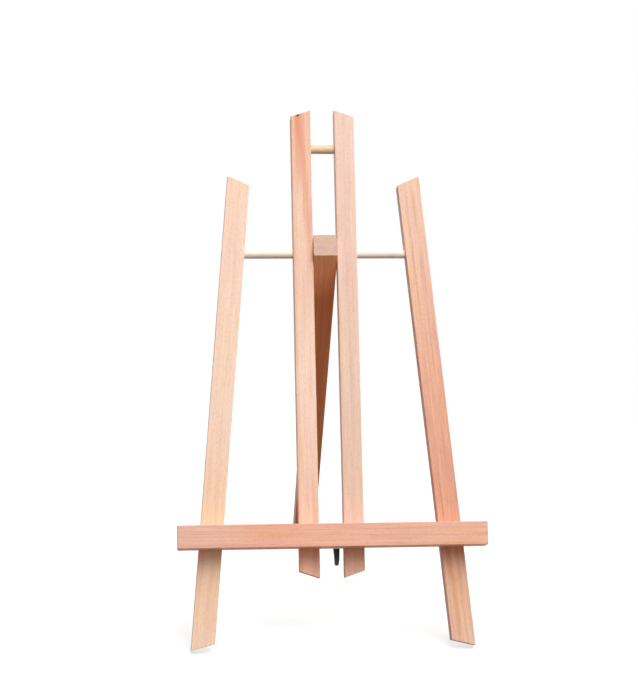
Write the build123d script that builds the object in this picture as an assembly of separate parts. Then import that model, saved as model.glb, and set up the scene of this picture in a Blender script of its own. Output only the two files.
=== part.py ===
from build123d import *
import os
from math import cos, radians, sin, tan

# Beech table stand for one plate. Four strips and their dowels are a flat frame
# that leans back, a rear leg hinges on the long dowel between the two uprights,
# and a ledge slides along the uprights and is clamped from behind by a wing nut.
# Millimetres, +Z up, front at -Y. The origin is the bottom centre of the stand.
# Frame coordinates: X across, Z up along the strips, Y through them (front -Y),
# with zero on the axis of the hinge dowel.

# ---- driving dimensions ----------------------------------------------------

# all wood
ARRIS = 0.7                  # radius of the sanded long edges
END_CUT = 18.5               # degrees off square at the strips' ends

# flat frame
STRIP_THICKNESS = 12.0
STRIP_LENGTH = 416.0         # along the long edge of each strip
UPRIGHT_WIDTH = 17.5
UPRIGHT_GAP = 21.3           # between the two uprights
UPRIGHT_ABOVE_HINGE = 130.5  # long edge's top end over the hinge dowel
LEG_WIDTH = 20.0
LEG_SPREAD = 81.5            # from the middle to a leg's centre line, at the hinge
LEG_SPLAY = 5.0              # degrees
LEG_ABOVE_HINGE = 69.0       # long edge's top end over the hinge, along the leg
FRAME_LEAN = 24.5            # degrees from vertical

# dowels
DOWEL_DIAMETER = 8.0
DOWEL_CHAMFER = 0.6
GLUE_GAP = 0.05              # round a glued dowel or stud
TOP_DOWEL_ABOVE_HINGE = 96.0
DOWEL_IN_UPRIGHT = 12.0      # blind depth
DOWEL_IN_LEG = 14.0          # blind depth
LOWER_DOWELS_ABOVE_FOOT = 34.8   # over the uprights' lower tips
DOWEL_END_ROOM = 0.5         # glue room past a dowel's end

# rear leg
REAR_WIDTH = 20.7
REAR_DEPTH = 20.0
REAR_ABOVE_HINGE = 7.0       # front edge of the top end over the hinge
REAR_LEAN = 29.0             # degrees from vertical
HINGE_CLEARANCE = 0.08       # round the dowel in the rear leg

# ledge
LEDGE_LENGTH = 265.0
LEDGE_HEIGHT = 20.0
LEDGE_DEPTH = 20.0
LEDGE_ABOVE_FOOT = 34.8      # middle of the ledge over the uprights' lower tips, at its lowest

# clamp
SEAT_GAP = 0.05              # between flat faces that slide or turn on each other
STUD_DIAMETER = 5.0
STUD_RIGHT_OF_MIDDLE = 5.3
STUD_BELOW_LEDGE_MIDDLE = 4.2
STUD_IN_LEDGE = 13.0
STUD_PROUD = 2.0             # past the wing nut's hub
STUD_CHAMFER = 0.5
PLATE_LENGTH = 44.0
PLATE_HEIGHT = 10.0
PLATE_THICKNESS = 3.0
PLATE_CORNER = 2.0
PLATE_CLEARANCE = 0.3        # round the stud in the plate
NUT_CLEARANCE = 0.05         # round the stud in the wing nut

# wing nut
HUB_DIAMETER = 10.0
HUB_TOP_DIAMETER = 8.8
HUB_HEIGHT = 9.5
FLANGE_HEIGHT = 1.6
WING_REACH = 18.6            # from the axis to a wing's tip
WING_RISE = 20.0             # from the seat to a wing's tip
WING_THICKNESS = 4.8
WING_TIP_RADIUS = 4.0
WING_LOWER_BULGE = 2.6       # how far the lower edge bows out
WING_UPPER_BULGE = 2.0       # how far the upper edge bows in
WING_BASE_HEIGHT = 2.5       # where the wing's lower edge leaves the hub
WING_WAIST = 8.2             # height of the wing's upper edge at the hub
WING_CHAMFER = 0.5
HUB_FILLET = 0.6
NUT_TURN = 85.0              # degrees from level to the lower wing

# ---- worked out ------------------------------------------------------------

half_thickness = STRIP_THICKNESS / 2
upright_middle = UPRIGHT_GAP / 2 + UPRIGHT_WIDTH / 2
bore_diameter = DOWEL_DIAMETER + 2 * GLUE_GAP
ledge_height = UPRIGHT_ABOVE_HINGE - STRIP_LENGTH + LEDGE_ABOVE_FOOT
stud_height = ledge_height - STUD_BELOW_LEDGE_MIDDLE
lower_dowel_height = UPRIGHT_ABOVE_HINGE - STRIP_LENGTH + LOWER_DOWELS_ABOVE_FOOT
ledge_back = -half_thickness - SEAT_GAP
plate_front = half_thickness + SEAT_GAP
nut_seat = plate_front + PLATE_THICKNESS + SEAT_GAP
stud_front = ledge_back - STUD_IN_LEDGE
stud_back = nut_seat + HUB_HEIGHT + STUD_PROUD


def leg_inner_face(height):
    """Half distance between the outer legs' inner edges, at a frame height."""
    return LEG_SPREAD - height * tan(radians(LEG_SPLAY)) - LEG_WIDTH / 2 / cos(radians(LEG_SPLAY))


# ---- flat frame --------------------------------------------------------------

def strip(width, above, long_side):
    """A strip whose ends are both sawn off square, with its long edge on one side (+1 or -1)."""
    short = width * tan(radians(END_CUT))
    long_x, short_x = long_side * width / 2, -long_side * width / 2
    bottom = above - STRIP_LENGTH
    outline = Polyline((long_x, above), (short_x, above - short), (short_x, bottom + short),
                       (long_x, bottom), close=True)
    blank = extrude(Plane.XZ * make_face(outline), amount=half_thickness, both=True)
    return fillet(blank.edges().filter_by(Axis.Z), ARRIS)


def crosswise(diameter, half_length, height):
    """A round bar along X, centred in the strips' thickness."""
    return Pos(0, 0, height) * Rot(0, 90, 0) * Cylinder(diameter / 2, 2 * half_length)


def dowel(half_length, height):
    bar = crosswise(DOWEL_DIAMETER, half_length, height)
    return chamfer(bar.edges().filter_by(GeomType.CIRCLE), DOWEL_CHAMFER)


top_reach = UPRIGHT_GAP / 2 + DOWEL_IN_UPRIGHT
hinge_reach = leg_inner_face(0) + DOWEL_IN_LEG
lower_inner = upright_middle + UPRIGHT_WIDTH / 2 - DOWEL_IN_UPRIGHT
lower_outer = leg_inner_face(lower_dowel_height) + DOWEL_IN_LEG
lower_middle, lower_half = (lower_outer + lower_inner) / 2, (lower_outer - lower_inner) / 2

top_bore = crosswise(bore_diameter, top_reach + DOWEL_END_ROOM, TOP_DOWEL_ABOVE_HINGE)
hinge_bore = crosswise(bore_diameter, hinge_reach + DOWEL_END_ROOM, 0)
lower_bore = crosswise(bore_diameter, lower_half + DOWEL_END_ROOM, lower_dowel_height)


def upright(side):
    blank = Pos(side * upright_middle, 0, 0) * strip(UPRIGHT_WIDTH, UPRIGHT_ABOVE_HINGE, -side)
    return blank - top_bore - hinge_bore - Pos(side * lower_middle, 0, 0) * lower_bore


def outer_leg(side):
    blank = Rot(0, -side * LEG_SPLAY, 0) * strip(LEG_WIDTH, LEG_ABOVE_HINGE, side)
    return Pos(side * LEG_SPREAD, 0, 0) * blank - hinge_bore - Pos(side * lower_middle, 0, 0) * lower_bore


flat_frame = {
    "upright_left": upright(-1),
    "upright_right": upright(1),
    "outer_leg_left": outer_leg(-1),
    "outer_leg_right": outer_leg(1),
    "top_dowel": dowel(top_reach, TOP_DOWEL_ABOVE_HINGE),
    "hinge_dowel": dowel(hinge_reach, 0),
    "lower_dowel_left": Pos(-lower_middle, 0, 0) * dowel(lower_half, lower_dowel_height),
    "lower_dowel_right": Pos(lower_middle, 0, 0) * dowel(lower_half, lower_dowel_height),
}

# ---- ledge and clamp, in frame coordinates -------------------------------------

def through(diameter, front, back):
    """A round bar through the frame at the stud's place, from one depth to another."""
    bar = Rot(-90, 0, 0) * Cylinder(diameter / 2, back - front, align=(Align.CENTER, Align.CENTER, Align.MIN))
    return Pos(STUD_RIGHT_OF_MIDDLE, front, stud_height) * bar


def ledge():
    bar = Pos(0, ledge_back - LEDGE_DEPTH / 2, ledge_height) * Box(LEDGE_LENGTH, LEDGE_DEPTH, LEDGE_HEIGHT)
    bar = fillet(bar.edges(), ARRIS)
    return bar - through(STUD_DIAMETER + 2 * GLUE_GAP, stud_front - DOWEL_END_ROOM, ledge_back + SEAT_GAP)


def ledge_stud():
    bar = through(STUD_DIAMETER, stud_front, stud_back)
    return chamfer(bar.edges().filter_by(GeomType.CIRCLE), STUD_CHAMFER)


def clamp_plate():
    middle = Pos(STUD_RIGHT_OF_MIDDLE, plate_front + PLATE_THICKNESS / 2, stud_height)
    bar = middle * Box(PLATE_LENGTH, PLATE_THICKNESS, PLATE_HEIGHT)
    bar = fillet(bar.edges().filter_by(Axis.Y), PLATE_CORNER)
    return bar - through(STUD_DIAMETER + 2 * PLATE_CLEARANCE, plate_front - SEAT_GAP, nut_seat)


def nut_hub():
    """The hub on its seat at Z = 0: a short flange, then a cone with a rounded top edge."""
    section = Polyline((0, 0), (HUB_DIAMETER / 2, 0), (HUB_DIAMETER / 2, FLANGE_HEIGHT),
                       (HUB_TOP_DIAMETER / 2, HUB_HEIGHT), (0, HUB_HEIGHT), close=True)
    hub = revolve(Plane.XZ * make_face(section), Axis.Z)
    return fillet(hub.edges().filter_by(GeomType.CIRCLE).group_by(Axis.Z)[-1], HUB_FILLET)


def nut_wing():
    """One wing: a flat blade that sweeps out and up from the hub, with its two rims chamfered."""
    tip = (WING_REACH - WING_TIP_RADIUS, WING_RISE - WING_TIP_RADIUS)
    rounded = WING_TIP_RADIUS * cos(radians(45))
    root = HUB_TOP_DIAMETER / 2 - HUB_FILLET
    side = Line((0, WING_BASE_HEIGHT), (root, WING_BASE_HEIGHT))
    side += SagittaArc(side @ 1, (WING_REACH, tip[1]), -WING_LOWER_BULGE)
    side += ThreePointArc(side @ 1, (tip[0] + rounded, tip[1] + rounded), (tip[0], WING_RISE))
    side += SagittaArc(side @ 1, (root, WING_WAIST), WING_UPPER_BULGE)
    side += Polyline(side @ 1, (0, WING_WAIST), (0, WING_BASE_HEIGHT))
    blade = extrude(Plane.XZ * make_face(side), amount=WING_THICKNESS / 2, both=True)
    rims = blade.edges().filter_by(GeomType.CIRCLE)
    return chamfer(rims, WING_CHAMFER)


def wing_nut():
    wing = nut_wing()
    nut = nut_hub() + wing + Rot(0, 0, 180) * wing
    nut -= Cylinder(STUD_DIAMETER / 2 + NUT_CLEARANCE, WING_RISE * 2)
    return Pos(STUD_RIGHT_OF_MIDDLE, nut_seat, stud_height) * Rot(-90, 0, 0) * Rot(0, 0, NUT_TURN) * nut


sliding = {
    "ledge": ledge(),
    "ledge_stud": ledge_stud(),
    "clamp_plate": clamp_plate(),
    "wing_nut": wing_nut(),
}

# ---- stand them up ---------------------------------------------------------------

leaned = {name: Rot(-FRAME_LEAN, 0, 0) * piece for name, piece in {**flat_frame, **sliding}.items()}
hinge_height = -leaned["outer_leg_left"].bounding_box().min.Z


def rear_leg():
    """In its own coordinates: Z up along the leg, front -Y. The foot is sawn flat to the floor."""
    front, back = -REAR_DEPTH / 2, REAR_DEPTH / 2
    rise = REAR_DEPTH * tan(radians(END_CUT))

    def floor_at(depth):
        return (-hinge_height - depth * sin(radians(REAR_LEAN))) / cos(radians(REAR_LEAN))

    outline = Polyline((front, REAR_ABOVE_HINGE), (back, REAR_ABOVE_HINGE + rise),
                       (back, floor_at(back)), (front, floor_at(front)), close=True)
    blank = extrude(Plane.YZ * make_face(outline), amount=REAR_WIDTH / 2, both=True)
    blank = fillet(blank.edges().filter_by(Axis.Z), ARRIS)
    return blank - crosswise(DOWEL_DIAMETER + 2 * HINGE_CLEARANCE, REAR_WIDTH, 0)


leaned["rear_leg"] = Rot(REAR_LEAN, 0, 0) * rear_leg()
boxes = [piece.bounding_box() for piece in leaned.values()]
hinge_depth = -(min(box.min.Y for box in boxes) + max(box.max.Y for box in boxes)) / 2

os.makedirs("parts", exist_ok=True)
for name, piece in leaned.items():
    export_step(Pos(0, hinge_depth, hinge_height) * piece, f"parts/{name}.step")

print(f"hinge at Y {hinge_depth:.3f}, Z {hinge_height:.3f}")
print(f"stud at frame height {stud_height:.2f}, nut seat {nut_seat:.2f}")
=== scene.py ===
from math import cos, pi, radians, sin

import bpy
import numpy as np
from mathutils import Matrix, Quaternion, Vector


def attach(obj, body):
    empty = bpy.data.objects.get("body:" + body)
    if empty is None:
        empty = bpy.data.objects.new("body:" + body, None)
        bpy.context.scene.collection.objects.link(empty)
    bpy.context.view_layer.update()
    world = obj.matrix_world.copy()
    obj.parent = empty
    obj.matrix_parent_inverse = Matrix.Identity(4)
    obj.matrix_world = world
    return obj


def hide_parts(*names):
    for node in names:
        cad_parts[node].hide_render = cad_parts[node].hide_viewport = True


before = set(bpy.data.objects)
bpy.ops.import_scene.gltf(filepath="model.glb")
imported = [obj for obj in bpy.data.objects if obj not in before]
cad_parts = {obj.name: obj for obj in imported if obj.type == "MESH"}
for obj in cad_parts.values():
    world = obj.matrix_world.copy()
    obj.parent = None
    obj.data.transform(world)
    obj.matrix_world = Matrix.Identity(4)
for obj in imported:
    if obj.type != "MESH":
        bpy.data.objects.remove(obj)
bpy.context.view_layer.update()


# ---- camera ----------------------------------------------------------------------
# A long lens a little above the stand and to its left, aimed under the hinge dowel
# and turned a degree about its own axis.

HINGE = Vector((0, -0.019144, 0.316133))  # axis of the long dowel, metres
AIM_FROM_HINGE = Vector((-0.0036, 0, -0.0876))  # metres
CAMERA_SIDE, CAMERA_ABOVE, CAMERA_ROLL = radians(5.22), radians(14.09), radians(0.92)
CAMERA_DISTANCE = 1.7044  # metres
CAMERA_LENS = 97.71  # millimetres

looking = Vector((sin(CAMERA_SIDE) * cos(CAMERA_ABOVE), cos(CAMERA_SIDE) * cos(CAMERA_ABOVE),
                  -sin(CAMERA_ABOVE)))
camera = bpy.data.objects.new("camera", bpy.data.cameras.new("camera"))
bpy.context.scene.collection.objects.link(camera)
camera.data.lens = CAMERA_LENS
camera.rotation_mode = "QUATERNION"
camera.rotation_quaternion = looking.to_track_quat("-Z", "Y") @ Quaternion((0, 0, 1), CAMERA_ROLL)
camera.location = HINGE + AIM_FROM_HINGE - looking * CAMERA_DISTANCE
bpy.context.scene.camera = camera
bpy.context.scene.view_settings.view_transform = "Standard"


# ---- studio ----------------------------------------------------------------------
# White sheet under the stand, a large softbox above it and to the right, a weak fill in
# front, a stronger one low behind, and a room that is lighter overhead. The sheet and the
# room look white, and the sheet keeps the stand's shadow.

SHEET_HALF = 30  # metres
SHADOW_NEAR, SHADOW_FAR = 0.3, 0.75  # metres out, between which the lit sheet turns plain white
LAMPS_AIM = Vector((0, 0, 0.22))  # metres


def add(tree, kind, values=(), links=(), stops=(), **settings):
    """Adds one node: its settings, its sockets' values, its ramp's stops, and what feeds its sockets."""
    made = tree.nodes.new("ShaderNode" + kind)
    for name, value in settings.items():
        setattr(made, name, value)
    for socket, value in dict(values).items():
        made.inputs[socket].default_value = value
    for socket, source in dict(links).items():
        tree.links.new(source, made.inputs[socket])
    for index, (position, colour) in enumerate(stops):
        ramp = made.color_ramp.elements
        stop = ramp[index] if index < 2 else ramp.new(position)
        stop.position, stop.color = position, colour
    return made


def linear(code):
    """An sRGB hex colour as linear red, green, blue and alpha."""
    parts = [int(code[at:at + 2], 16) / 255 for at in (1, 3, 5)]
    return *[part / 12.92 if part <= 0.04045 else ((part + 0.055) / 1.055) ** 2.4 for part in parts], 1.0


def empty_material(name):
    """A material with no nodes yet, and its tree."""
    material = bpy.data.materials.new(name)
    material.use_nodes = True
    material.node_tree.nodes.clear()
    return material, material.node_tree


def shown(tree):
    """1 for rays from the camera and for those reflected or let through, 0 for light on the stand."""
    path = add(tree, "LightPath")
    seen = add(tree, "Math", links={0: path.outputs["Is Camera Ray"], 1: path.outputs["Is Glossy Ray"]},
               operation="MAXIMUM")
    return add(tree, "Math", links={0: seen.outputs[0], 1: path.outputs["Is Transmission Ray"]},
               operation="MAXIMUM").outputs[0]


room = bpy.data.worlds.new("studio_room")
bpy.context.scene.world = room
room.use_nodes = True
tree = room.node_tree
tree.nodes.clear()
above = add(tree, "SeparateXYZ", links={0: add(tree, "TexCoord").outputs["Generated"]})
overhead = add(tree, "MapRange", {"From Min": 0.0, "From Max": 1.0, "To Min": 0.06, "To Max": 0.5},
               {"Value": above.outputs["Z"]})
grey_room = add(tree, "Background", {"Color": linear("#ffffff")}, {"Strength": overhead.outputs[0]})
white_room = add(tree, "Background", {"Color": linear("#ffffff"), "Strength": 1.0})
either = add(tree, "MixShader", links={0: shown(tree), 1: grey_room.outputs[0], 2: white_room.outputs[0]})
add(tree, "OutputWorld", links={0: either.outputs[0]})

# what the sheet throws back on the stand is dim and warm; what shows of it is near white
sheet, tree = empty_material("matt_white_studio_paper")
dim_paper = add(tree, "BsdfDiffuse", {"Color": linear("#7a6350")})
white_paper = add(tree, "BsdfDiffuse", {"Color": linear("#b4b4b4")})
glow = add(tree, "Emission", {"Color": linear("#ffffff"), "Strength": 0.68})
lit_paper = add(tree, "AddShader", links={0: white_paper.outputs[0], 1: glow.outputs[0]})
plain_white = add(tree, "Emission", {"Color": linear("#ffffff"), "Strength": 1.0})
coordinates = add(tree, "TexCoord")
out = add(tree, "VectorMath", links={0: coordinates.outputs["Object"]}, operation="LENGTH")
far = add(tree, "MapRange", {"From Min": SHADOW_NEAR, "From Max": SHADOW_FAR},
          {"Value": out.outputs["Value"]})
swept = add(tree, "MixShader", links={0: far.outputs[0], 1: lit_paper.outputs[0], 2: plain_white.outputs[0]})
either = add(tree, "MixShader", links={0: shown(tree), 1: dim_paper.outputs[0], 2: swept.outputs[0]})
add(tree, "OutputMaterial", links={0: either.outputs[0]})

floor_mesh = bpy.data.meshes.new("studio_floor")
floor_mesh.from_pydata([(x * SHEET_HALF, y * SHEET_HALF, 0) for x, y in ((-1, -1), (1, -1), (1, 1), (-1, 1))],
                       [], [(0, 1, 2, 3)])
floor_mesh.materials.append(sheet)
floor = bpy.data.objects.new("studio_floor", floor_mesh)
bpy.context.scene.collection.objects.link(floor)

for name, spot, size, power in (("softbox", (0.8, -0.98, 2.3), 2.0, 63),
                                ("front_fill", (0.2, -2.45, 1.55), 1.4, 9),
                                ("back_fill", (-0.5, 2.6, 0.9), 1.4, 26)):
    lamp = bpy.data.lights.new(name, "AREA")
    lamp.shape, lamp.size, lamp.energy = "SQUARE", size, power
    light = bpy.data.objects.new(name, lamp)
    bpy.context.scene.collection.objects.link(light)
    light.location = spot
    light.rotation_mode = "QUATERNION"
    light.rotation_quaternion = (LAMPS_AIM - Vector(spot)).to_track_quat("-Z", "Y")


# ---- left upright ------------------------------------------------------------------
# Sawn beech strip, planed and sanded, both ends sawn at a slant, the long edges eased.
# A small knot at its top sends a reddish flame down the grain.

LEAN = Matrix.Rotation(radians(-24.5), 3, "X")  # the flat frame's lean
MM = 0.001  # sizes of the pieces and their grain are in millimetres
STRIP_HALF = 208  # half the length of an upright or an outer leg
UPRIGHT_OUT, UPRIGHT_DOWN = 19.4, 77.5  # from the hinge's middle to an upright's
WAVE = 0.314  # wave length of the wave texture times its scale
FLAME_TOP = 203.5  # over the upright's middle
FLAME_LENGTH = 0.2  # metres that its strengths are spread over
KNOT = (-2.6, -6.0, 203.6)  # from the upright's middle
KNOT_SQUEEZE = 0.35  # through the strip, so that the knot runs into its depth


def cells(tree, source, sizes, shift=(0, 0, 0)):
    """The place counted in cells of these sizes, plus the shift: shift + place / size on each axis."""
    return add(tree, "Mapping", {"Location": shift, "Scale": [1 / (size * MM) for size in sizes]},
               {"Vector": source}).outputs[0]


def beech(name, middle, turn, half_length, tones, pith, start, rings, figure,
          end_tone="#d8ab92", painted_front_shade=None, mark=None):
    """Steamed beech, planed and sanded under a clear matte lacquer: pink-peach, faint year rings and
    short darker ray flecks along the grain, darker end grain. The pattern is solid: Z runs along the
    piece. tones are (share of the length, hex); pith is the tree's middle from the piece's; start
    moves the patterns along the tree, so that no two pieces are alike; rings and figure say how
    strongly the year rings, and the drift and fibre, show, 0 to 1; the front tint, if given, is painted
    shade that darkens the piece's front; mark paints on the wood, from the tree, the place in the piece
    and the colour so far."""
    material, tree = empty_material(name)
    coordinates = add(tree, "TexCoord")
    local = add(tree, "Mapping", {"Location": middle, "Rotation": turn.to_euler()},
                {"Vector": coordinates.outputs["Object"]}, vector_type="TEXTURE").outputs[0]

    # tone along the length
    split = add(tree, "SeparateXYZ", links={0: local})
    along = add(tree, "MapRange", {"From Min": -half_length * MM, "From Max": half_length * MM},
                {"Value": split.outputs["Z"]})
    tone = add(tree, "ValToRGB", links={0: along.outputs[0]},
               stops=[(share, linear(code)) for share, code in tones])
    colour = tone.outputs[0]
    # painted shade: the piece's front is tinted darker, fading in over 12 mm of its depth
    if painted_front_shade:
        shaded_front = add(tree, "MapRange", {"From Min": 5 * MM, "From Max": -7 * MM},
                    {"Value": split.outputs["Y"]}, interpolation_type="SMOOTHSTEP")
        colour = add(tree, "Mix", {7: linear(painted_front_shade)}, {0: shaded_front.outputs[0], 6: colour},
                     data_type="RGBA", blend_type="MULTIPLY").outputs[2]

    # year rings 2.8 mm apart round the tree's middle, wavering over about 140 mm of length
    log = add(tree, "Mapping", {"Location": (-pith[0] * MM, -pith[1] * MM, start), "Scale": (1, 1, 0.07)},
              {"Vector": local})
    ring = add(tree, "TexWave", {"Scale": WAVE / (2.8 * MM), "Distortion": 3.2, "Detail": 2.0,
                                 "Detail Scale": 0.9, "Detail Roughness": 0.55},
               {"Vector": log.outputs[0]}, wave_type="RINGS", rings_direction="Z", wave_profile="SAW")
    ring_tint = add(tree, "ValToRGB", links={0: ring.outputs["Fac"]},
                    stops=[(0.0, linear("#fffefd")), (1.0, linear("#faf2ee")),
                           (0.6, linear("#fffcfa")), (0.9, linear("#f5e6de"))])

    # slow drift from yellower to pinker wood: 11 mm across the grain, 90 mm along it
    drift = add(tree, "TexNoise", {"Scale": 1.0, "Detail": 3.0, "Roughness": 0.5},
                {"Vector": cells(tree, local, (11, 11, 90), (0, 0, start * 90))})
    drift_tint = add(tree, "ValToRGB", links={0: drift.outputs["Fac"]},
                     stops=[(0.3, linear("#ffeed2")), (0.7, linear("#f7e4e4")), (0.5, linear("#fff8f0"))])

    # fibre, drawn 0.8 mm wide and 35 mm long so that it shows
    fibre = add(tree, "TexNoise", {"Scale": 1.0, "Detail": 2.0, "Roughness": 0.6},
                {"Vector": cells(tree, local, (0.8, 0.8, 35), (0, 0, start * 40))})
    fibre_tint = add(tree, "ValToRGB", links={0: fibre.outputs["Fac"]},
                     stops=[(0.3, linear("#e9d9d0")), (0.65, linear("#ffffff"))])

    # ray flecks: really 0.3 by 2 mm, drawn 0.9 by 3.5 mm so that they show, in two cells of three
    fleck = add(tree, "TexVoronoi", {"Scale": 1.0, "Randomness": 1.0},
                {"Vector": cells(tree, local, (0.9, 0.9, 3.5), (start, 0, start * 30))})
    spindle = add(tree, "MapRange", {"From Min": 0.42, "From Max": 0.12},
                  {"Value": fleck.outputs["Distance"]}, interpolation_type="SMOOTHSTEP")
    chance = add(tree, "SeparateColor", links={0: fleck.outputs["Color"]})
    chosen = add(tree, "Math", {1: 0.33}, {0: chance.outputs[0]}, operation="GREATER_THAN")
    marked = add(tree, "Math", links={0: spindle.outputs[0], 1: chosen.outputs[0]}, operation="MULTIPLY")
    fleck_tint = add(tree, "ValToRGB", links={0: marked.outputs[0]},
                     stops=[(0.0, linear("#ffffff")), (1.0, linear("#f0dfd5"))])

    # end grain is darker and duller where the face looks along the grain
    facing = add(tree, "VectorMath", {1: turn @ Vector((0, 0, 1))}, {0: coordinates.outputs["Normal"]},
                 operation="DOT_PRODUCT")
    facing = add(tree, "Math", links={0: facing.outputs["Value"]}, operation="ABSOLUTE")
    sawn = add(tree, "MapRange", {"From Min": 0.7, "From Max": 0.88}, {"Value": facing.outputs[0]})
    colour = add(tree, "Mix", {7: linear(end_tone)}, {0: sawn.outputs[0], 6: colour},
                 data_type="RGBA").outputs[2]

    for tint, share in ((ring_tint, rings), (drift_tint, figure), (fibre_tint, 0.8 * figure),
                        (fleck_tint, 0.8)):
        colour = add(tree, "Mix", {0: share}, {6: colour, 7: tint.outputs[0]},
                     data_type="RGBA", blend_type="MULTIPLY").outputs[2]
    if mark:
        colour = mark(tree, local, colour)

    # sanded fibre is up to 0.03 mm deep, strength times distance; planed faces are a little
    # glossier than end grain
    relief = add(tree, "Math", {1: 0.4}, {0: ring.outputs["Fac"], 2: fibre.outputs["Fac"]},
                 operation="MULTIPLY_ADD")
    bump = add(tree, "Bump", {"Strength": 0.35, "Distance": 0.08 * MM}, {"Height": relief.outputs[0]})
    gloss = add(tree, "MapRange", {"To Min": 0.56, "To Max": 0.72}, {"Value": sawn.outputs[0]})
    wood = add(tree, "BsdfPrincipled", {"IOR": 1.5, "Specular IOR Level": 0.32},
               {"Base Color": colour, "Roughness": gloss.outputs[0], "Normal": bump.outputs[0]})
    add(tree, "OutputMaterial", links={0: wood.outputs[0]})
    return material


def dress(node, material):
    """Gives a CAD node its finish."""
    for at in range(len(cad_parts[node].material_slots)):
        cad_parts[node].material_slots[at].material = material


def flame(tree, local, colour):
    """The colour with the knot and its flame on it: a reddish band down from the knot, which opens
    into a right and a left arm with paler wood between them."""
    split = add(tree, "SeparateXYZ", links={0: local})
    down = add(tree, "Math", {0: FLAME_TOP * MM}, {1: split.outputs["Z"]}, operation="SUBTRACT").outputs[0]

    # the streaks' edges are feathered by up to 4.5 mm in threads 1.8 mm wide and 40 mm long
    threads = add(tree, "TexNoise", {"Scale": 1.0, "Detail": 3.0, "Roughness": 0.6},
                  {"Vector": cells(tree, local, (1.8, 1.8, 40))})
    feather = add(tree, "MapRange", {"To Min": -4.5 * MM, "To Max": 4.5 * MM},
                  {"Value": threads.outputs["Fac"]})
    across = add(tree, "Math", links={0: split.outputs["X"], 1: feather.outputs[0]},
                 operation="ADD").outputs[0]

    def streak(left, drift, half_width, widening, strengths):
        """How much a streak tints a place: 0.37 to the power of the squared distance from its middle
        over its half width, times its strength. Its middle starts left of the strip's and drifts
        right, it widens on its way down, and strengths are (metres below the knot, strength)."""
        away = add(tree, "Math", {1: left * MM}, {0: across}, operation="ADD").outputs[0]
        away = add(tree, "Math", {1: -drift}, {0: down, 2: away}, operation="MULTIPLY_ADD").outputs[0]
        width = add(tree, "Math", {1: widening, 2: half_width * MM}, {0: down},
                    operation="MULTIPLY_ADD").outputs[0]
        away = add(tree, "Math", links={0: away, 1: width}, operation="DIVIDE").outputs[0]
        away = add(tree, "Math", links={0: away, 1: away}, operation="MULTIPLY").outputs[0]
        soft = add(tree, "Math", {0: 0.37}, {1: away}, operation="POWER").outputs[0]
        length = add(tree, "MapRange", {"From Min": 0.0, "From Max": FLAME_LENGTH},
                     {"Value": down}).outputs[0]
        strength = add(tree, "ValToRGB", links={0: length},
                       stops=[(metres / FLAME_LENGTH, (much, much, much, 1.0)) for metres, much in strengths])
        return add(tree, "Math", links={0: soft, 1: strength.outputs[0]}, operation="MULTIPLY").outputs[0]

    # the band, the right arm, the left arm, and the paler wood between them
    for code, left, drift, half_width, widening, strengths in (
            ("#dc8d69", 2.6, 0.05, 3.5, 0.02, [(0.0, 0.95), (0.016, 0.85), (0.038, 0.5), (0.075, 0.0)]),
            ("#e0946f", 1.2, 0.064, 2.9, 0.0, [(0.01, 0.0), (0.04, 0.4), (0.1, 0.68), (0.165, 0.0)]),
            ("#e0946f", 3.9, 0.012, 1.5, 0.0, [(0.02, 0.0), (0.045, 0.3), (0.085, 0.0)]),
            ("#fbeecb", 2.4, 0.014, 2.0, 0.0, [(0.05, 0.0), (0.08, 0.2), (0.12, 0.2), (0.15, 0.0)])):
        share = streak(left, drift, half_width, widening, strengths)
        colour = add(tree, "Mix", {7: linear(code)}, {0: share, 6: colour}, data_type="RGBA").outputs[2]

    # the knot is dark to 0.9 mm from its middle and ends at 1.7 mm
    knot = add(tree, "Mapping", {"Location": (-KNOT[0] * MM, -KNOT[1] * KNOT_SQUEEZE * MM, -KNOT[2] * MM),
                                 "Scale": (1, KNOT_SQUEEZE, 1)}, {"Vector": local})
    knot = add(tree, "VectorMath", links={0: knot.outputs[0]}, operation="LENGTH")
    knot = add(tree, "MapRange", {"From Min": 1.7 * MM, "From Max": 0.9 * MM},
               {"Value": knot.outputs["Value"]}).outputs[0]
    return add(tree, "Mix", {7: linear("#54362a")}, {0: knot, 6: colour}, data_type="RGBA").outputs[2]


middle = HINGE + Vector((-UPRIGHT_OUT * MM, 0, 0)) + LEAN @ Vector((0, 0, -UPRIGHT_DOWN * MM))
# the stops at 0 and 0.05 cover the foot under the ledge: painted light, lighter and more orange than the wood
# above, for warm light bounced from the ledge into its shadow
tones = [(0.0, "#fbd2ba"), (1.0, "#edc4ae"), (0.05, "#ffccb2"), (0.1, "#f6d1bc"), (0.44, "#fae0d1"),
         (0.62, "#f0d0be"), (0.78, "#f1d1c0")]
dress("upright_left", beech("steamed_beech_with_flame", middle, LEAN, STRIP_HALF, tones, (9, -62), 0.3,
                            rings=0.7, figure=0.6, mark=flame))


# ---- right upright -----------------------------------------------------------------
# The same strip turned over, from a greyer and pinker board with fine straight grain.

middle = HINGE + Vector((UPRIGHT_OUT * MM, 0, 0)) + LEAN @ Vector((0, 0, -UPRIGHT_DOWN * MM))
# the stops at 0 and 0.05 cover the foot under the ledge: painted shade, warmer and darker than the wood
# above, for the ledge's warm shadow
tones = [(0.0, "#e9c4b1"), (1.0, "#f0d4c9"), (0.05, "#efbfa4"), (0.1, "#eacdbf"), (0.5, "#eed3c0")]
dress("upright_right", beech("steamed_beech_fine_grain", middle, LEAN, STRIP_HALF, tones, (30, 90), 0.9,
                             rings=0.4, figure=0.55))


# ---- outer legs --------------------------------------------------------------------
# Wider strips, splayed five degrees each way and glued over the ends of the long dowel.
# The left one is pale; the right one is heartwood, browner towards its foot.

LEG_OUT, LEG_DOWN = 81.5, 139  # from the hinge's middle to a leg's, the second along the leg
LEG_SPLAY = 5  # degrees

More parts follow.
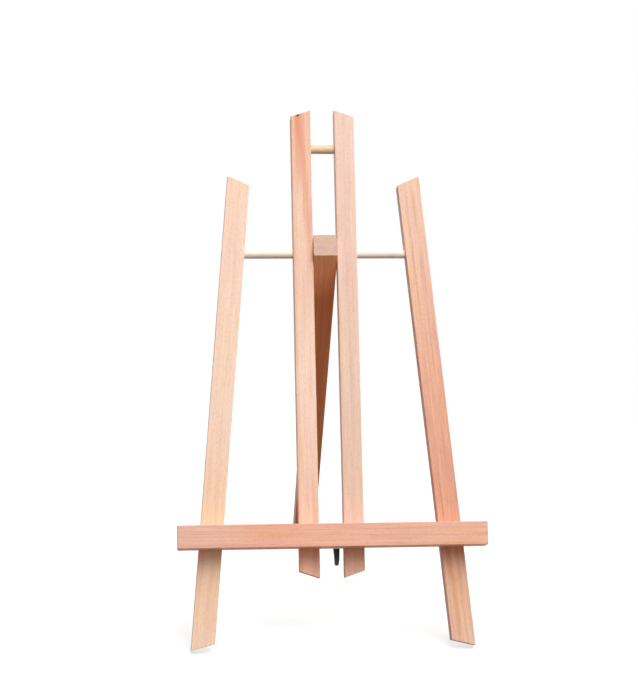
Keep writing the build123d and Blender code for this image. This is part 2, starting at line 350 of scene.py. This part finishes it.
for side, node, name, tones, pith, start, rings, figure in (
        (-1, "outer_leg_left", "steamed_beech_pale",
         [(0.0, "#fee1cb"), (1.0, "#f9dcc7"), (0.1, "#fcdabc"), (0.32, "#f8d8bd"), (0.5, "#fae1d0")],
         (24, -75), 1.6, 0.35, 0.45),
        (1, "outer_leg_right", "steamed_beech_heartwood",
         [(0.0, "#f4d5c6"), (1.0, "#f1d6c6"), (0.14, "#ebc3ae"), (0.24, "#e6b199"), (0.55, "#eec0ac")],
         (-16, -40), 2.3, 0.6, 1.0)):
    turn = LEAN @ Matrix.Rotation(radians(-LEG_SPLAY * side), 3, "Y")
    middle = HINGE + Vector((LEG_OUT * MM * side, 0, 0)) + turn @ Vector((0, 0, -LEG_DOWN * MM))
    dress(node, beech(name, middle, turn, STRIP_HALF, tones, pith, start, rings, figure))


# ---- rear leg ----------------------------------------------------------------------
# Thicker bar between the uprights, drilled for the long dowel that it turns on. Its front, which
# faces down, carries painted shade: a browner tint. Its top is sawn at a slant and its foot flat to the
# floor.

REAR_LEAN = 29  # degrees
REAR_DOWN, REAR_HALF = 170, 184  # from the hinge to the leg's middle, and half its length

turn = Matrix.Rotation(radians(REAR_LEAN), 3, "X")
tones = [(0.0, "#e5c1a8"), (1.0, "#ffeedd"), (0.84, "#dcb197"), (0.93, "#ffe8d6"), (0.55, "#eac3a8")]
middle = HINGE + turn @ Vector((0, 0, -REAR_DOWN * MM))
# the front tint here is painted shade on the leg's front, which faces down
dress("rear_leg", beech("steamed_beech_with_painted_shade", middle, turn, REAR_HALF, tones, (-35, 50), 3.1,
                        rings=0.6, figure=0.9, end_tone="#d0bbae", painted_front_shade="#f2c6a5"))


# ---- ledge -------------------------------------------------------------------------
# Square beech bar that carries the plate's foot. It slides on the fronts of the four strips.

LEDGE_FRONT, LEDGE_DOWN = 16.05, 250.7  # from the hinge's middle to the ledge's
LEDGE_HALF = 132.5

turn = LEAN @ Matrix.Rotation(radians(90), 3, "Y")
middle = HINGE + LEAN @ Vector((0, -LEDGE_FRONT * MM, -LEDGE_DOWN * MM))
tones = [(0.0, "#f2ccbc"), (1.0, "#f0c3b0"), (0.3, "#f5c0ac")]
dress("ledge", beech("steamed_beech_ledge", middle, turn, LEDGE_HALF, tones, (14, -34), 4.2,
                     rings=0.45, figure=0.75))


# ---- dowels ------------------------------------------------------------------------
# Birch rods 8 mm thick, glued: the long hinge, a low one from each upright to its outer leg,
# and, from a tanner rod, a short one near the top between the uprights.

for name, nodes, dark, light in (
        ("birch_dowel_rod", ("hinge_dowel", "lower_dowel_left", "lower_dowel_right"), "#efe2d0", "#fbf4ea"),
        ("birch_dowel_rod_tan", ("top_dowel",), "#dcc29c", "#ead3b2")):
    material, tree = empty_material(name)
    coordinates = add(tree, "TexCoord")
    fibre = add(tree, "TexNoise", {"Scale": 1.0, "Detail": 3.0, "Roughness": 0.55},
                {"Vector": cells(tree, coordinates.outputs["Object"], (28, 0.9, 0.9))})
    cream = add(tree, "ValToRGB", links={0: fibre.outputs["Fac"]},
                stops=[(0.25, linear(dark)), (0.7, linear(light))])
    bump = add(tree, "Bump", {"Strength": 0.3, "Distance": 0.06 * MM}, {"Height": fibre.outputs["Fac"]})
    birch = add(tree, "BsdfPrincipled", {"Roughness": 0.55, "IOR": 1.5, "Specular IOR Level": 0.35},
                {"Base Color": cream.outputs[0], "Normal": bump.outputs[0]})
    add(tree, "OutputMaterial", links={0: birch.outputs[0]})
    for node in nodes:
        dress(node, material)


# ---- clamp plate -------------------------------------------------------------------
# Flat bar of zinc-plated steel across the backs of the uprights, with a hole for the stud.

zinc, tree = empty_material("bright_zinc_plated_steel")
coordinates = add(tree, "TexCoord")
rolled = add(tree, "TexNoise", {"Scale": 1.0, "Detail": 3.0, "Roughness": 0.6},
             {"Vector": cells(tree, coordinates.outputs["Object"], (9, 0.5, 0.5))})
cloud = add(tree, "TexNoise", {"Scale": 1 / (5 * MM), "Detail": 2.0},
            {"Vector": coordinates.outputs["Object"]})
zinc_tone = add(tree, "ValToRGB", links={0: cloud.outputs["Fac"]},
                stops=[(0.3, linear("#b9bcc0")), (0.7, linear("#d0d0cb"))])
zinc_gloss = add(tree, "MapRange", {"To Min": 0.26, "To Max": 0.46}, {"Value": rolled.outputs["Fac"]})
bump = add(tree, "Bump", {"Strength": 0.2, "Distance": 0.02 * MM}, {"Height": rolled.outputs["Fac"]})
steel = add(tree, "BsdfPrincipled", {"Metallic": 1.0},
            {"Base Color": zinc_tone.outputs[0], "Roughness": zinc_gloss.outputs[0],
             "Normal": bump.outputs[0]})
add(tree, "OutputMaterial", links={0: steel.outputs[0]})
dress("clamp_plate", zinc)


# ---- ledge stud --------------------------------------------------------------------
# M5 threaded rod, glued blind into the ledge's back. It passes between the uprights and
# through the plate, and its rolled thread shows in the gap and past the wing nut.

STUD_RIGHT, STUD_DOWN = 5.3, 254.9  # from the hinge's middle, in the frame's middle plane
STUD_AXIS = HINGE + LEAN @ Vector((STUD_RIGHT * MM, 0, -STUD_DOWN * MM))
BACK = LEAN @ Vector((0, 1, 0))
TO_BACK = LEAN @ Matrix.Rotation(radians(-90), 3, "X")  # turns a piece's Z to the stand's back
STUD_LENGTH, STUD_DIAMETER, STUD_PITCH = 39.65, 5.0, 0.8
STUD_START = 19.05  # its end in the ledge, in front of that plane
THREAD_DEPTH = 0.6134  # of the pitch
ROD_CHAMFER = 0.55


def skin(name, rings, joined=False):
    """A closed surface from rings of points, shape (rings, points, 3): neighbours are joined by
    quads, and each end closes on a pole at its ring's mean, or the last ring joins the first."""
    rows, columns = rings.shape[:2]
    at = np.arange(rows * columns).reshape(rows, columns)
    ahead = np.roll(at, -1, axis=1)
    above, above_ahead = np.roll(at, -1, axis=0), np.roll(ahead, -1, axis=0)
    last = rows if joined else rows - 1
    faces = np.stack([at, ahead, above_ahead, above], axis=-1)[:last].reshape(-1, 4).tolist()
    points = rings.reshape(-1, 3)
    if not joined:
        points = np.vstack([points, rings[0].mean(axis=0), rings[-1].mean(axis=0)])
        faces += np.stack([ahead[0], at[0], np.full(columns, rows * columns)], axis=-1).tolist()
        faces += np.stack([at[-1], ahead[-1], np.full(columns, rows * columns + 1)], axis=-1).tolist()
    mesh = bpy.data.meshes.new(name)
    mesh.from_pydata(points.tolist(), [], faces)
    return mesh


def threaded_rod(length, diameter, pitch):
    """Z runs along the rod. The radius at height z and angle a falls from the crest by the thread's
    depth times 2.6 times how far z / pitch - a / (2 pi) is from a whole number, less 0.15 and kept
    between 0 and 1, so crest and root are flat. Both ends are chamfered at 45 degrees."""
    z = np.linspace(0, length, int(length / pitch * 9) + 1)[:, None]
    angle = np.linspace(0, 2 * pi, 40, endpoint=False)[None, :]
    turn = z / pitch - angle / (2 * pi)
    away = np.abs(turn - np.round(turn)) * 2
    crest = np.clip(away * 1.3 - 0.15, 0, 1)
    radius = diameter / 2 - THREAD_DEPTH * pitch * crest
    radius = np.minimum(radius, diameter / 2 - ROD_CHAMFER + np.minimum(z, length - z))
    return np.stack([radius * np.cos(angle), radius * np.sin(angle), z + 0 * angle], axis=-1)


def place(mesh, material, node, body, turn, origin):
    """Puts a mesh in millimetres in its place in metres, gives it its finish, and lets it ride."""
    mesh.transform(Matrix.Translation(origin) @ (turn.to_4x4() @ Matrix.Scale(MM, 4)))
    mesh.polygons.foreach_set("use_smooth", np.ones(len(mesh.polygons), bool))
    mesh.materials.clear()
    mesh.materials.append(material)
    piece = bpy.data.objects.new(mesh.name, mesh)
    bpy.context.scene.collection.objects.link(piece)
    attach(piece, body)
    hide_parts(node)


rod = skin("threaded_stud", threaded_rod(STUD_LENGTH, STUD_DIAMETER, STUD_PITCH))
place(rod, zinc, "ledge_stud", "ledge", TO_BACK, STUD_AXIS - BACK * STUD_START * MM)


# ---- wing nut ----------------------------------------------------------------------
# Moulded in one piece from black nylon: a tapered hub on a short flange, and two wings
# that sweep out and up, thinner and rounded towards their tips.

NUT_SEAT = 9.1  # behind the frame's middle plane
NUT_TURN = 85  # degrees about the stud
WING_EDGE = 0.76  # share of a wing's outline before its round tip
TIP_MIDDLE, TIP_RADIUS = (14.6, 16.0), 4.0
ROOT_HALF, THINNING = 2.85, 1.25  # half the wing's thickness at its root, and its loss to the tip
ROUNDNESS = 0.62  # power that flattens the sides of its sections; 1 gives ellipses
VOXEL = 0.28  # of the grid that fuses hub and wings


def hub_ring():
    """The hub's closed section, radius and height, carried round the axis."""
    section = np.array([(2.62, 0.0), (4.8, 0.0), (5.0, 0.2), (5.0, 1.3), (4.8, 1.7), (4.4, 9.0), (4.0, 9.5),
                        (3.0, 9.5), (2.62, 9.1)])
    steps = np.linspace(0, len(section), 90, endpoint=False)
    closed = np.vstack([section, section[:1]])
    radius = np.interp(steps, np.arange(len(closed)), closed[:, 0])[:, None]
    height = np.interp(steps, np.arange(len(closed)), closed[:, 1])[:, None]
    angle = np.linspace(0, 2 * pi, 72, endpoint=False)[None, :]
    return np.stack([radius * np.cos(angle), radius * np.sin(angle), height + 0 * angle], axis=-1)


def wing_blade(side):
    """Rounded sections between the wing's lower and upper edge. Each edge is a bowed line from the
    hub, then an eighth of the round tip more; the thickness falls towards the tip and closes there."""
    t = np.linspace(0, 1, 60)[:, None]
    on_edge, on_tip = np.clip(t / WING_EDGE, 0, 1), np.clip((t - WING_EDGE) / (1 - WING_EDGE), 0, 1)

    def edge(start, end, bow, tip_from, tip_to):
        chord = np.array(end) - np.array(start)
        normal = np.array([chord[1], -chord[0]]) / np.hypot(*chord)
        line = np.array(start) + on_edge * chord + 4 * on_edge * (1 - on_edge) * bow * normal
        angle = np.radians(tip_from + (tip_to - tip_from) * on_tip)
        tip = np.array(TIP_MIDDLE) + TIP_RADIUS * np.hstack([np.cos(angle), np.sin(angle)])
        return np.where(t <= WING_EDGE, line, tip)

    lower = edge((3.4, 2.3), (18.6, 16.0), 2.6, 0, 44.5)
    upper = edge((3.4, 8.0), (14.6, 20.0), 2.0, 90, 45.5)
    angle = np.linspace(0, 2 * pi, 40, endpoint=False)[None, :]
    across = np.sign(np.cos(angle)) * np.abs(np.cos(angle)) ** ROUNDNESS
    through = np.sign(np.sin(angle)) * np.abs(np.sin(angle)) ** ROUNDNESS
    middle, half = (upper + lower) / 2, (upper - lower) / 2
    thick = (ROOT_HALF - THINNING * t) * np.sqrt(np.clip(1 - on_tip ** 2.5, 0.003, 1))
    return np.stack([side * (middle[:, :1] + half[:, :1] * across), side * thick * through,
                     middle[:, 1:] + half[:, 1:] * across], axis=-1)


nylon, tree = empty_material("moulded_black_nylon")
coordinates = add(tree, "TexCoord")
spark = add(tree, "TexNoise", {"Scale": 1 / (0.35 * MM), "Detail": 2.0},
            {"Vector": coordinates.outputs["Object"]})
cloud = add(tree, "TexNoise", {"Scale": 1 / (6 * MM), "Detail": 2.0},
            {"Vector": coordinates.outputs["Object"]})
black = add(tree, "ValToRGB", links={0: cloud.outputs["Fac"]},
            stops=[(0.3, linear("#08090a")), (0.7, linear("#101112"))])
satin = add(tree, "MapRange", {"To Min": 0.36, "To Max": 0.5}, {"Value": cloud.outputs["Fac"]})
bump = add(tree, "Bump", {"Strength": 0.25, "Distance": 0.03 * MM}, {"Height": spark.outputs["Fac"]})
plastic = add(tree, "BsdfPrincipled", {"IOR": 1.53, "Specular IOR Level": 0.25},
              {"Base Color": black.outputs[0], "Roughness": satin.outputs[0], "Normal": bump.outputs[0]})
add(tree, "OutputMaterial", links={0: plastic.outputs[0]})

# hub and wings are fused into one skin, and the corners between them softened
parts = [skin("hub", hub_ring(), joined=True), skin("wing_a", wing_blade(1)), skin("wing_b", wing_blade(-1))]
moulding = bpy.data.meshes.new("moulding")
points, faces, seen = [], [], 0
for part in parts:
    spots = np.empty(len(part.vertices) * 3)
    part.vertices.foreach_get("co", spots)
    points.append(spots.reshape(-1, 3))
    faces += [[corner + seen for corner in face.vertices] for face in part.polygons]
    seen += len(part.vertices)
moulding.from_pydata(np.vstack(points).tolist(), [], faces)
blank = bpy.data.objects.new("moulding", moulding)
bpy.context.scene.collection.objects.link(blank)
fuse = blank.modifiers.new("fuse", "REMESH")
fuse.mode, fuse.voxel_size, fuse.use_smooth_shade = "VOXEL", VOXEL, True
soften = blank.modifiers.new("soften", "SMOOTH")
soften.factor, soften.iterations = 0.5, 8
moulded = bpy.data.meshes.new_from_object(blank.evaluated_get(bpy.context.evaluated_depsgraph_get()))
moulded.name = "moulded_wing_nut"
bpy.data.objects.remove(blank)
place(moulded, nylon, "wing_nut", "nut",
      TO_BACK @ Matrix.Rotation(radians(NUT_TURN), 3, "Z"), STUD_AXIS + BACK * NUT_SEAT * MM)

bpy.context.view_layer.update()
